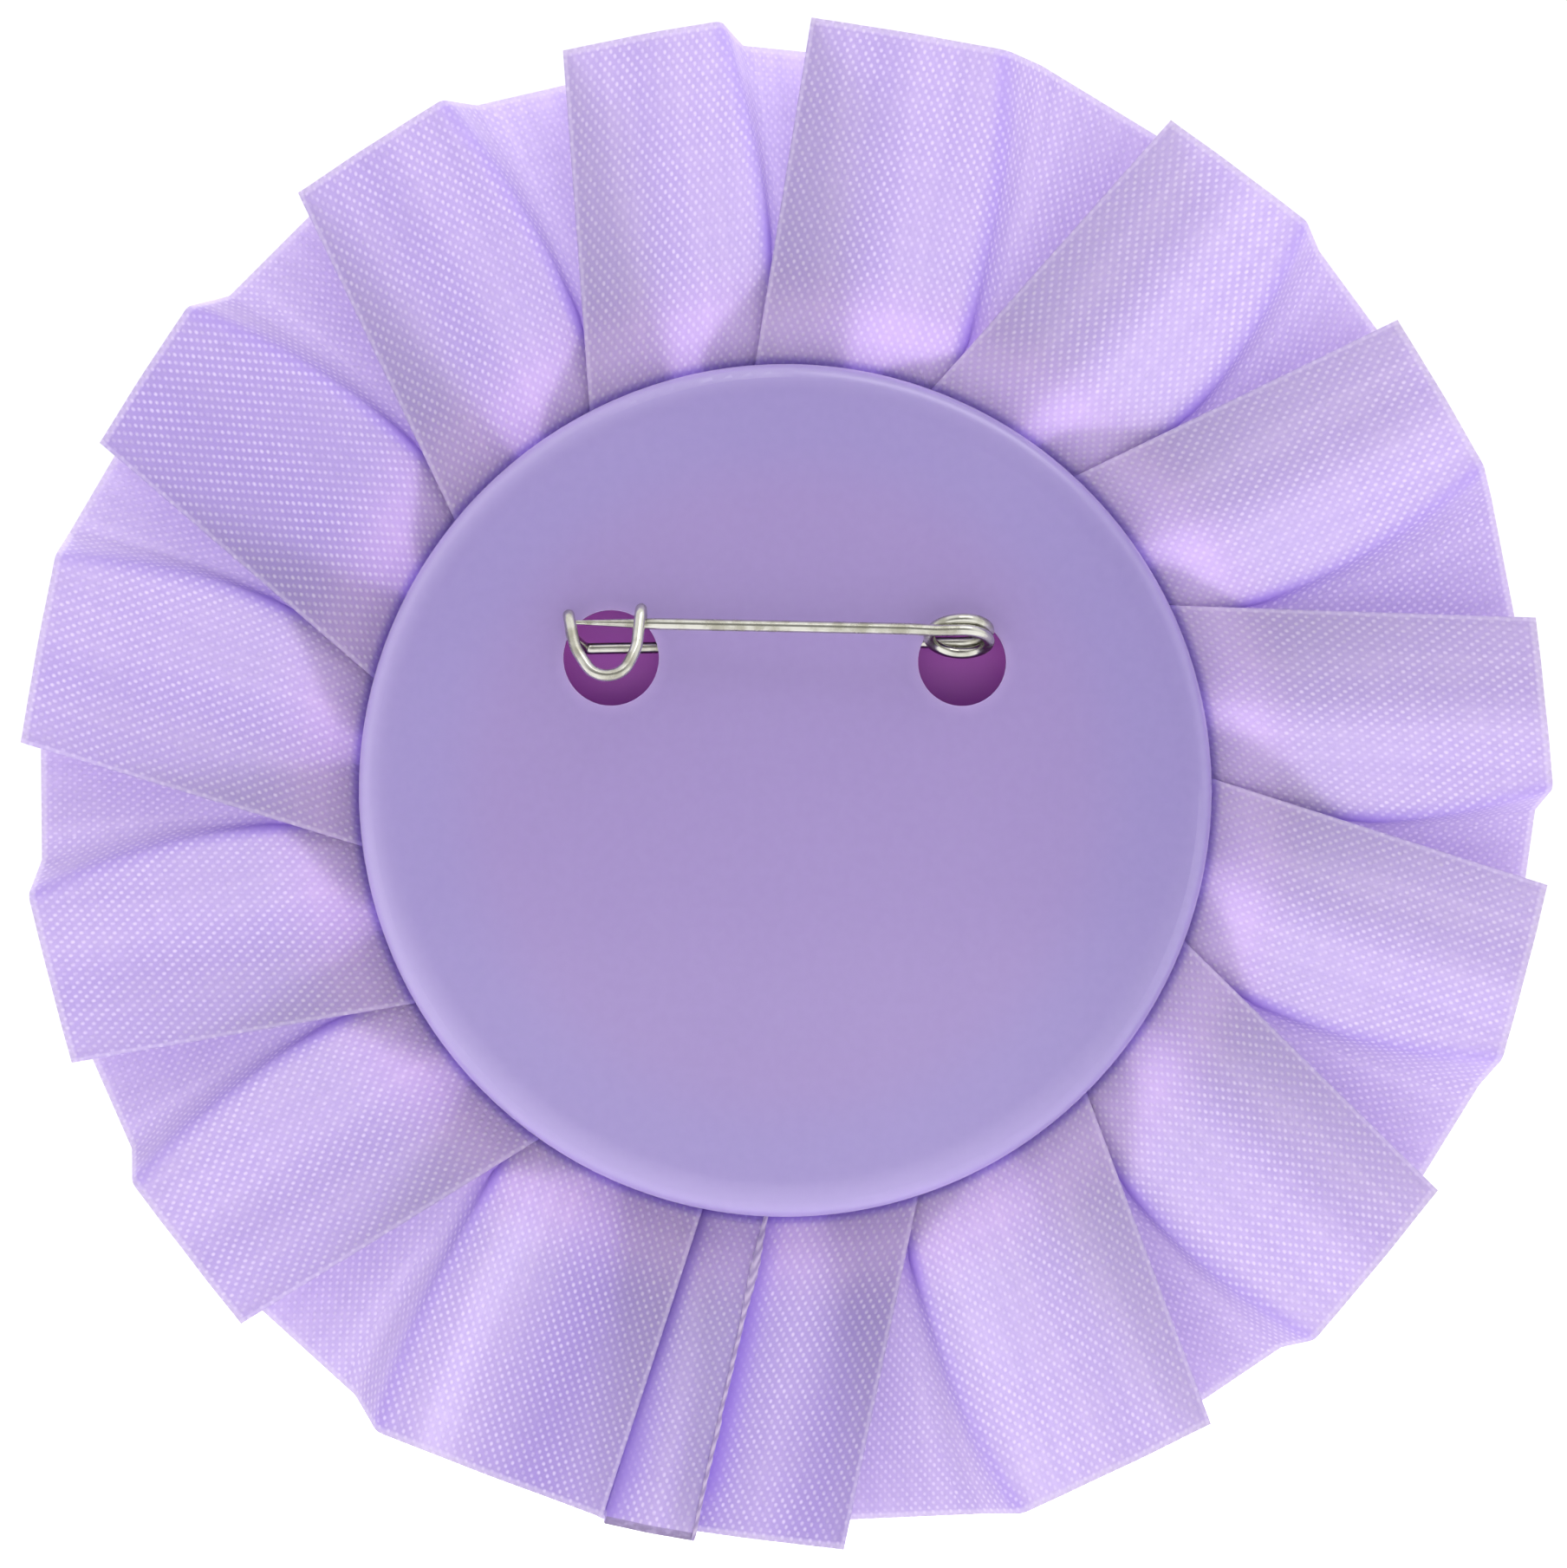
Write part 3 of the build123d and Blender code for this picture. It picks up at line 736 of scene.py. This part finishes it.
def plate_material():
    """Moulded lilac polystyrene: very slightly uneven, with painted shade on one side, painted light along
    the rim and a painted glow round the holes.
    """
    n = Nodes("lilac_plate")
    place = n.object_place()
    x, _, z = n.parts(place)
    radius = n.length(x, z)
    cloud = n.noise(place, 55.0, 2.0)
    grain = n.noise(place, 1400.0, 3.0)
    inner = n.mix(cloud, from_srgb(152, 132, 188), from_srgb(157, 137, 192))
    outer = n.mix(cloud, from_srgb(149, 134, 191), from_srgb(154, 139, 195))
    base = n.mix(n.step(radius, 0.0185, 0.0245), inner, outer)
    # painted shade a little deeper on one side, and a painted light band along the rim that is strongest at
    # the bottom
    base = n.mix(n.step(x, -0.029, -0.012, 0.28, 0.0), base, from_srgb(126, 112, 172))
    base = n.mix(n.step(grain, 0.30, 0.70, 0.0, 0.06), base, from_srgb(184, 166, 220))
    rim_light_band = n.math("MULTIPLY", n.step(radius, 0.0258, 0.0278), n.step(z, -0.022, 0.010, 1.0, 0.25))
    rim_light_band = n.math("MULTIPLY", rim_light_band, n.step(x, -0.026, -0.006, 0.15, 1.0))
    base = n.mix(n.math("MULTIPLY", rim_light_band, 0.60), base, from_srgb(176, 160, 214))
    # painted highlight on the thin lip of the rim, stronger on the other side
    slant = n.math("ADD", n.math("MULTIPLY", z, 0.6), x)
    lip_highlight = n.math("MULTIPLY", n.step(radius, 0.0267, 0.0284), n.step(slant, 0.0, 0.030, 0.05, 0.26))
    base = n.mix(lip_highlight, base, from_srgb(212, 198, 240))
    for hole_x, hole_z, hole_r in HOLES:
        across, up = n.math("SUBTRACT", x, -hole_x * MM), n.math("SUBTRACT", z, hole_z * MM)
        # painted glow: a paler ring round each hole
        pale = n.step(n.length(across, up), hole_r * MM, (hole_r + 0.9) * MM, 0.30, 0.0)
        base = n.mix(pale, base, from_srgb(178, 156, 208))
    shoulder = n.step(radius, 0.0262, 0.0287, 0.00030, 0.0)
    height = n.math("ADD", shoulder, n.math("MULTIPLY", cloud, 0.00005))
    height = n.math("ADD", height, n.math("MULTIPLY", grain, 0.0000008))
    surface = n.node("ShaderNodeBsdfPrincipled", {
        "Base Color": base, "Roughness": n.step(cloud, 0.30, 0.70, 0.30, 0.34), "IOR": 1.55,
        "Normal": n.bump(height, 1.0, 1.0),
        "Coat Weight": 0.6, "Coat Roughness": 0.06,
        "Subsurface Weight": 0.35, "Subsurface Radius": (1.0, 0.7, 1.0), "Subsurface Scale": 0.0012})
    return n.finish(surface.outputs[0])


def steel_material():
    """Nickel-plated spring wire with faint drawing marks."""
    n = Nodes("pin_steel")
    place = n.object_place()
    drawn = n.noise(n.scaled(place, (300.0, 5200.0, 5200.0)), 1.0, 2.0)
    stain = n.noise(place, 900.0, 3.0)
    base = n.mix(n.step(stain, 0.35, 0.72), from_srgb(198, 197, 188), from_srgb(160, 158, 144))
    rough = n.step(stain, 0.3, 0.7, 0.16, 0.30)
    normal = n.bump(drawn, 0.000004, 0.6)
    surface = n.node("ShaderNodeBsdfPrincipled", {
        "Base Color": base, "Metallic": 1.0, "Roughness": rough, "Normal": normal})
    return n.finish(surface.outputs[0])


def plum_material():
    """Plum moulded plastic with a fine satin texture."""
    n = Nodes("plum_plastic")
    place = n.object_place()
    cloud = n.noise(place, 120.0, 3.0)
    grain = n.noise(place, 2600.0, 2.0)
    base = n.mix(cloud, from_srgb(141, 84, 148), from_srgb(152, 92, 156))
    # painted light: the face behind the plate's holes is drawn brighter, with a faint painted glow, for light
    # that comes through it
    y = n.parts(place)[1]
    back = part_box("front_button")[1].y
    behind = n.step(y, back - 0.0002, back - 0.0001)
    base = n.mix(behind, base, from_srgb(232, 122, 238))
    surface = n.node("ShaderNodeBsdfPrincipled", {
        "Base Color": base, "Roughness": n.step(cloud, 0.3, 0.7, 0.30, 0.42), "IOR": 1.5,
        "Emission Color": (0.63, 0.03, 1.0, 1.0), "Emission Strength": n.math("MULTIPLY", behind, 0.04),
        "Normal": n.bump(grain, 0.00001, 0.4)})
    return n.finish(surface.outputs[0])


def insert_material():
    """Pale card disc with plain fine rings and a soft ray pattern."""
    n = Nodes("insert_card")
    place = n.object_place()
    x, _, z = n.parts(place)
    radius = n.length(x, z)
    turn = n.math("ARCTAN2", x, z)
    rays = n.math("SINE", n.math("MULTIPLY", turn, 24.0))
    fibre = n.noise(place, 1500.0, 4.0)
    base = n.mix(n.step(fibre, 0.3, 0.7), from_srgb(240, 236, 246), from_srgb(232, 226, 242))
    base = n.mix(n.step(rays, -0.2, 0.2, 0.0, 0.35), base, from_srgb(201, 178, 232))
    for ring_r, ring_w in ((0.0238, 0.0006), (0.0222, 0.00025), (0.0075, 0.0005)):
        away = n.math("ABSOLUTE", n.math("SUBTRACT", radius, ring_r))
        base = n.mix(n.step(away, ring_w * 0.7, ring_w, 0.9, 0.0), base, from_srgb(132, 84, 158))
    inside = n.step(radius, 0.0070, 0.0072, 1.0, 0.0)
    base = n.mix(inside, base, from_srgb(243, 239, 249))
    surface = n.node("ShaderNodeBsdfPrincipled", {
        "Base Color": base, "Roughness": 0.55, "Normal": n.bump(fibre, 0.00002, 0.5)})
    return n.finish(surface.outputs[0])


def dome_material():
    """Clear cast resin."""
    n = Nodes("clear_resin")
    haze = n.noise(n.object_place(), 300.0, 2.0)
    surface = n.node("ShaderNodeBsdfPrincipled", {
        "Base Color": (0.98, 0.98, 1.0, 1.0), "Roughness": n.step(haze, 0.3, 0.8, 0.02, 0.06),
        "IOR": 1.5, "Transmission Weight": 1.0})
    return n.finish(surface.outputs[0])


def glue_material():
    """Cloudy hot-melt glue."""
    n = Nodes("hot_melt")
    cloud = n.noise(n.object_place(), 400.0, 3.0)
    base = n.mix(cloud, from_srgb(238, 232, 214), from_srgb(226, 216, 190))
    surface = n.node("ShaderNodeBsdfPrincipled", {
        "Base Color": base, "Roughness": 0.35, "Subsurface Weight": 0.5, "Subsurface Scale": 0.001,
        "Normal": n.bump(cloud, 0.0001, 0.6)})
    return n.finish(surface.outputs[0])


def thread_material(name, pale, deep):
    """Twisted polyester sewing thread."""
    n = Nodes(name)
    place = n.object_place()
    strands = n.node("ShaderNodeTexWave", {"Scale": 900.0, "Distortion": 1.5, "Detail": 1.0, "Vector": place},
                     wave_type="BANDS", bands_direction="DIAGONAL").outputs[1]
    base = n.mix(strands, deep, pale)
    surface = n.node("ShaderNodeBsdfPrincipled", {
        "Base Color": base, "Roughness": 0.55, "Sheen Weight": 0.3, "Normal": n.bump(strands, 0.00004, 0.8)})
    return n.finish(surface.outputs[0])


def dress(node, material):
    data = NODES[node].data
    data.materials.clear()
    data.materials.append(material)


# ------------------------------------------------------------------ pieces

def make_cut_end(grid, material):
    """The ribbon's cut end: a sealed, slightly rolled edge with twisted threads."""
    edge = grid[HIDDEN_ROWS - 1:, 0]
    count = 190             # rings along the edge, close enough to twist the threads smoothly
    t = np.linspace(0, 1, count)
    source = np.linspace(0, 1, len(edge))
    line = np.stack([np.interp(t, source, edge[:, i]) for i in range(3)], -1)
    rng = np.random.RandomState(5)
    blur = 25
    drift = np.convolve(rng.randn(count + blur - 1), np.hanning(blur) / (blur / 2), "valid")[:count]
    line[:, 0] += 0.05 * drift
    line[:, 2] += 0.10 + 0.05 * np.roll(drift, 9)
    # thickest near the plate, where the threads have come loose
    swell = 0.13 + 0.15 * np.exp(-((t - 0.17) / 0.11) ** 2) + 0.03 * drift
    swell = np.clip(swell, 0.08, 0.32)
    swell[0] = swell[-1] = 0.06
    roll = make_tube("ribbon_cut_end", line, swell, sides=12, ridges=3, ridge_depth=0.12, twist=0.8)
    roll.data.materials.append(material)
    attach(roll, "badge")


def make_hinge_bend(material):
    """The coil's wire runs on to the needle's root, so that pin and needle read as one wire."""
    hinge = np.array(frame["joints"][0]["pos_m"], float)
    centre = np.array([-hinge[0], hinge[2], hinge[1]]) / MM
    radius = WIRE_R * 0.995         # just inside the needle's root and the coil's tail
    reach, steps = 0.62, 6
    points = [centre + np.array([x, 0.0, 0.0]) for x in np.linspace(reach, 0.0, steps)]
    radii = [radius] * steps
    for i in range(1, steps):
        turn = math.pi / 2 * i / steps
        points.append(centre - np.array([WIRE_R * math.sin(turn), 0.0, 0.0]))
        radii.append(radius * math.cos(turn))
    piece = make_tube("coil_tail_bend", points, radii, sides=24)
    piece.data.materials.append(material)
    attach(piece, "badge")


# ------------------------------------------------------------------ stage, light and camera

def make_stage():
    n = Nodes("pale_floor")
    surface = n.node("ShaderNodeBsdfPrincipled", {
        "Base Color": (0.93, 0.93, 0.93, 1.0), "Roughness": 0.9, "Emission Color": (1.0, 1.0, 1.0, 1.0),
        "Emission Strength": 0.10})
    material = n.finish(surface.outputs[0])
    sides, reach, drop = 96, 4.0, 0.05
    low = cad_low.z - drop
    ring = [(reach * math.cos(2 * math.pi * i / sides), reach * math.sin(2 * math.pi * i / sides), low)
            for i in range(sides)]
    floor = make_mesh("floor", ring, [list(range(sides))], smooth=False)
    floor.data.materials.append(material)


def make_world():
    """A light tent: bright all round, dimmer on the pin side's axis, and plain white behind the object."""
    world = bpy.data.worlds.new("studio")
    bpy.context.scene.world = world
    world.use_nodes = True
    tree = world.node_tree
    tree.nodes.clear()
    place = tree.nodes.new("ShaderNodeTexCoord")
    split = tree.nodes.new("ShaderNodeSeparateXYZ")
    tree.links.new(place.outputs["Generated"], split.inputs[0])
    ramp = tree.nodes.new("ShaderNodeMapRange")
    ramp.interpolation_type = "SMOOTHSTEP"
    tree.links.new(split.outputs[1], ramp.inputs[0])
    # from the first share of +Y to the second, the tent fades from the third value to the fourth
    for index, value in ((1, 0.55), (2, 0.95), (3, 1.18), (4, 0.34)):
        ramp.inputs[index].default_value = value
    tent = tree.nodes.new("ShaderNodeBackground")
    tent.inputs[0].default_value = (1.0, 1.0, 1.0, 1.0)
    tree.links.new(ramp.outputs[0], tent.inputs[1])
    plain = tree.nodes.new("ShaderNodeBackground")
    plain.inputs[0].default_value = (1.0, 1.0, 1.0, 1.0)
    plain.inputs[1].default_value = 1.05
    path = tree.nodes.new("ShaderNodeLightPath")
    mix = tree.nodes.new("ShaderNodeMixShader")
    tree.links.new(path.outputs["Is Camera Ray"], mix.inputs[0])
    tree.links.new(tent.outputs[0], mix.inputs[1])
    tree.links.new(plain.outputs[0], mix.inputs[2])
    out = tree.nodes.new("ShaderNodeOutputWorld")
    tree.links.new(mix.outputs[0], out.inputs[0])


def add_area(name, place, size, power, target=(0.0, 0.0, 0.0)):
    light = bpy.data.lights.new(name, "AREA")
    light.shape = "RECTANGLE"
    light.size, light.size_y = size
    light.energy = power
    holder = bpy.data.objects.new(name, light)
    bpy.context.scene.collection.objects.link(holder)
    holder.location = place
    aim = holder.location.copy()
    aim.x, aim.y, aim.z = (target[i] - place[i] for i in range(3))
    holder.rotation_mode = "QUATERNION"
    holder.rotation_quaternion = aim.to_track_quat("-Z", "Y")


def make_lights():
    add_area("key", (0.46, 0.46, -0.26), (0.24, 0.34), 5.2)
    add_area("top", (-0.25, 0.42, 0.60), (0.55, 0.25), 1.0)
    add_area("edge", (-0.143, 0.356, -0.494), (0.29, 0.03), 0.9)
    add_area("behind", (0.25, -0.75, 0.55), (0.60, 0.45), 7.8)


def make_camera():
    """Square on to the pin side, a little under half a metre away."""
    view_deg, distance = 13.3, 0.450
    data = bpy.data.cameras.new("camera")
    data.sensor_width = 36.0
    data.lens = data.sensor_width / 2 / math.tan(math.radians(view_deg / 2))
    data.clip_start, data.clip_end = 0.01, 20.0
    camera = bpy.data.objects.new("camera", data)
    bpy.context.scene.collection.objects.link(camera)
    camera.location = (0.00012, distance, 0.00043)
    camera.rotation_euler = (math.radians(90), 0.0, math.radians(180))
    bpy.context.scene.camera = camera


def main():
    make_camera()
    reverse = ribbon_material("ribbon_reverse", satin=False)
    face = ribbon_material("ribbon_satin", satin=True)
    ribbon, grid = make_ribbon(reverse, face)
    fray = thread_material("cut_threads", from_srgb(192, 176, 208), from_srgb(150, 132, 178))
    make_cut_end(grid, fray)
    steel = steel_material()
    make_hinge_bend(steel)
    dress("back_plate", plate_material())
    dress("pin_wire", steel)
    dress("pin_needle", steel)
    dress("front_button", plum_material())
    dress("button_insert", insert_material())
    dress("button_dome", dome_material())
    glue = glue_material()
    dress("back_glue", glue)
    dress("front_glue", glue)
    dress("gathering_thread", thread_material("thread", from_srgb(214, 196, 236), from_srgb(170, 150, 200)))
    make_stage()
    make_world()
    make_lights()
    bpy.context.scene.view_settings.view_transform = "Standard"


main()
